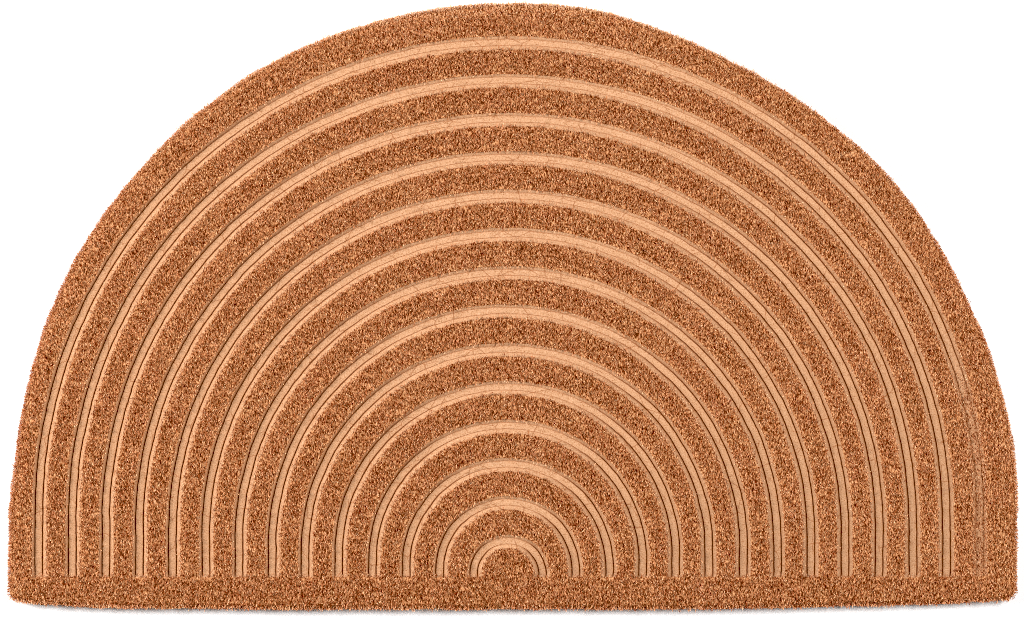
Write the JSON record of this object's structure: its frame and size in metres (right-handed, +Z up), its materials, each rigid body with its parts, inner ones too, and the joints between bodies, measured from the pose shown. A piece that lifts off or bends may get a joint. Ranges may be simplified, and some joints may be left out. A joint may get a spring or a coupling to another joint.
{
  "type": "half-round coir doormat",
  "caption": "Half-round coir doormat with concentric arched grooves pressed into its bristle pile, flat underneath, for wiping shoes at a door.",
  "frame": {"origin": "on the floor, under the middle of the mat's box, about 0.225 m behind its straight front edge", "axes": "+X along the straight edge, to the right seen from above with the arch away from the viewer; +Y to the top of the arch; +Z up from the floor to the pile"},
  "size_m": [0.7494, 0.4504, 0.015],
  "materials": {
    "coir_pile": "cut coir bristle, natural light brown, matt and grainy, with smooth paler pressed grooves"
  },
  "bodies": {
    "root": {"coir_mat": "coir_pile"}
  },
  "joints": []
}
